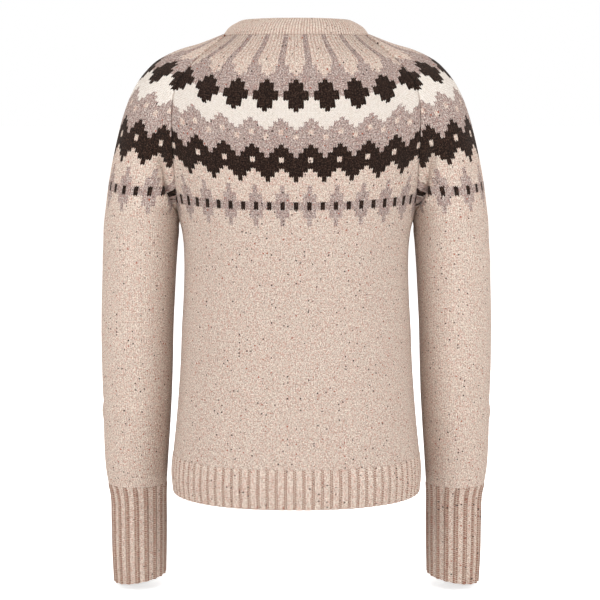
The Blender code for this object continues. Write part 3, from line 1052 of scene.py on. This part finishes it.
def rib_material(name, stitches, gap_shade, groove_shade, ridge_shade, painted_ridge_light, painted_glint, linked_row=None):
    """Ribbing of so many stitches to a rib: face stitches on the ridges, and in the grooves a
    zigzag of gaps in painted shade with painted glints between them, on grooves in painted shade.
    On a linked row the loops get painted shade, and the ridges are painted paler; ridges and
    glints are mixed towards the light fibre's colour.
    """
    material, nodes, counted, shader, bump = wool_material(name, RIB_BUMP)
    ridge = nodes.use(face, Stitches=counted)
    groove = nodes.use(reverse, Stitches=counted)
    u, r, _ = nodes.split(counted)
    ridge_start = 0.25 if stitches == 4 else 0.0
    place = nodes.math("DIVIDE", u, stitches)
    place = nodes.math("FRACT", nodes.plus(place, 100 + ridge_start))
    on_ridge = nodes.math("LESS_THAN", place, 0.5)
    low = nodes.minus(groove["Height"], 0.5)
    height = nodes.chosen(on_ridge, ridge["Height"], low)
    farther = nodes.math("GREATER_THAN", place, 0.75)
    shaded_gap = nodes.math("FRACT", nodes.plus(r, nodes.times(farther, 0.5)))
    shaded_gap = nodes.math("ABSOLUTE", nodes.minus(shaded_gap, 0.5))
    shaded_gap = nodes.range(shaded_gap, *GAP_HEIGHT, 1.0, 0.0)
    bow = nodes.math("FRACT", nodes.times(place, 4))
    bow = nodes.math("SINE", nodes.times(bow, math.pi))
    shaded_gap = nodes.times(shaded_gap, nodes.range(bow, 0.0, GAP_SIDE))
    unlike = nodes.range(nodes.strands(ridge["Leg"])["Value"], 0.0, 1.0, *GAP_STRENGTH)
    shaded_gap = nodes.times(shaded_gap, unlike, clamp=True)
    high_shade = nodes.times(ridge["Depth"], ridge_shade)
    # Painted shade in the grooves, darkest in the gaps.
    low_shade = nodes.plus(nodes.times(shaded_gap, gap_shade), groove_shade, clamp=True)
    depth = nodes.chosen(on_ridge, high_shade, low_shade)
    if linked_row:
        loops = nodes.math("LESS_THAN", nodes.math("FRACT", u), LINK_WIDTH)
        link = nodes.times(nodes.math("GREATER_THAN", r, linked_row), loops)
        depth = nodes.math("MAXIMUM", depth, nodes.times(link, LINK_SHADE))
    evenly = nodes.join(u, nodes.times(r, RIB_ROW / ROW))
    yarn = YARN_CODES["oatmeal"]
    spun = nodes.use(wool, Yarn=yarn, Stitches=evenly, Leg=ridge["Leg"], Depth=depth)
    height = nodes.plus(height, nodes.times(spun["Fuzz"], RIB_FUZZ))
    nodes.put(bump.inputs["Height"], height)
    # Painted light: the ridges and the glints between the gaps are mixed towards the light
    # fibre's colour as if lit.
    lit = nodes.times(nodes.minus(1, shaded_gap), painted_glint)
    painted_light = nodes.chosen(on_ridge, painted_ridge_light, lit)
    colour = nodes.mix(painted_light, spun["Color"], (*YARNS["oatmeal"].light, 1))
    nodes.put(shader.inputs["Base Color"], colour)
    return material


def ring_object(name, loops, at, rings, ribs, relief, stitches, material):
    """Smooth rings between the given ones, with ribs, as a mesh that counts its stitches."""
    wanted = np.linspace(at[0], at[-1], rings)
    points = smooth_down(loops, at, wanted)
    points = ribbed(points, ribs, relief, eased((wanted - at[0]) / RIB_START))
    count = loops.shape[1]
    rib = ribs * np.arange(count) / count
    rib = rib // 1 + np.interp(rib % 1, (0, RIDGE_HALF, 1 - RIDGE_HALF, 1), (0, 0.25, 0.75, 1))
    columns = np.repeat((stitches * rib)[None, :], rings, axis=0)
    columns = columns + (0.5 if stitches == 2 else 0)
    rows = np.repeat((wanted / RIB_ROW)[:, None], count, axis=1)
    return grid_object(name, points, columns, rows, True, (material, material))


hem_knit = rib_material(
    "two by two rib of the hem", stitches=4,
    gap_shade=0.85, groove_shade=0.28, ridge_shade=0.5, painted_ridge_light=0.03, painted_glint=0.1,
)
hem_loops = []
for level in HEM:
    back = across(level.back_y, level.z, level.half_width, 0, level.z, TORSO_POWER)
    front = across(level.front_y, level.z, level.half_width, 0, level.z, TORSO_POWER)
    hem_loops.append(closed_loop(back, front, HEM_POINTS * HEM_RIBS))
hem = ring_object(
    "hem_ribbing", np.array(hem_loops), np.array([HEM[0].z - level.z for level in HEM]),
    HEM_RINGS, HEM_RIBS, HEM_RELIEF, 4, hem_knit,
)
finish_cloth(hem, EDGE_ROUND)
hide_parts("hem_rib")


# The cuffs: long tubes of the same 2x2 rib in oatmeal wool, knitted on from the ends of the
# sleeves and cast off. They draw in a little where they start, and hang straight below.
CUFF_RIBS = 18
CUFF_POINTS = 14
CUFF_RINGS = 60
CUFF_RELIEF = 0.75 * MM
CUFF = table("outer_z inner_z outer_x inner_x middle_y half_depth", (
    (-529.15, -529.15, 224, 158, -18, 36.5),
    (-542, -541, 221.2, 158.8, -18.5, 34.5),
    (-575, -572, 220, 159.1, -19, 33.5),
    (-614, -608, 219.6, 159.6, -19.5, 33.5),
    (-652, -642, 218, 160.6, -20, 33),
))
cuff_knit = rib_material(
    "two by two rib of the cuffs", stitches=4,
    gap_shade=0.8, groove_shade=0.55, ridge_shade=0.5, painted_ridge_light=0.02, painted_glint=0.05,
)
cuff_count = CUFF_POINTS * CUFF_RIBS
left_cuff = np.array([even(oval(level), np.arange(cuff_count) / cuff_count) for level in CUFF])
cuff_at = np.array([CUFF[0].outer_z - level.outer_z for level in CUFF])
for name, mirror in (("cuff_left", False), ("cuff_right", True)):
    loops = np.roll(left_cuff[:, ::-1] * (-1, 1, 1), 1, axis=1) if mirror else left_cuff
    cuff = ring_object(
        name + "_ribbing", loops, cuff_at, CUFF_RINGS, CUFF_RIBS, CUFF_RELIEF, 4, cuff_knit,
    )
    finish_cloth(cuff, EDGE_ROUND)
    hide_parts(name)


# The neckband: a low ring of 1x1 rib in oatmeal wool, drawn in towards its cast-off edge and
# linked stitch by stitch to the top of the yoke, where the links show as a line of loops.
NECK_RIBS = 148
NECK_POINTS = 8
NECK_RINGS = 18
NECK_RELIEF = 0.4 * MM
NECK_LINKED_ROW = 10.6
NECKBAND = table("down half_width side_z back_y back_z front_y front_z", (
    (0, 62.5, 18.3, 55.5, 19, -70, -26.5),
    (14.5, 76.5, 10.5, 62, 11, -75.5, -35.5),
    (30, 85, 0.15, 66, 0.15, -78, -46.8),
))
neck_knit = rib_material(
    "one by one rib", stitches=2,
    gap_shade=0.4, groove_shade=0.26, ridge_shade=0.3, painted_ridge_light=0.1, painted_glint=0.05,
    linked_row=NECK_LINKED_ROW,
)
neck_loops = []
for level in NECKBAND:
    back = across(level.back_y, level.back_z, level.half_width, 0, level.side_z, 2)
    front = across(level.front_y, level.front_z, level.half_width, 0, level.side_z, 2)
    neck_loops.append(closed_loop(back, front, NECK_POINTS * NECK_RIBS))
neck = ring_object(
    "neckband_ribbing", np.array(neck_loops), np.array([level.down for level in NECKBAND]),
    NECK_RINGS, NECK_RIBS, NECK_RELIEF, 2, neck_knit,
)
finish_cloth(neck, EDGE_ROUND)
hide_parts("neckband")
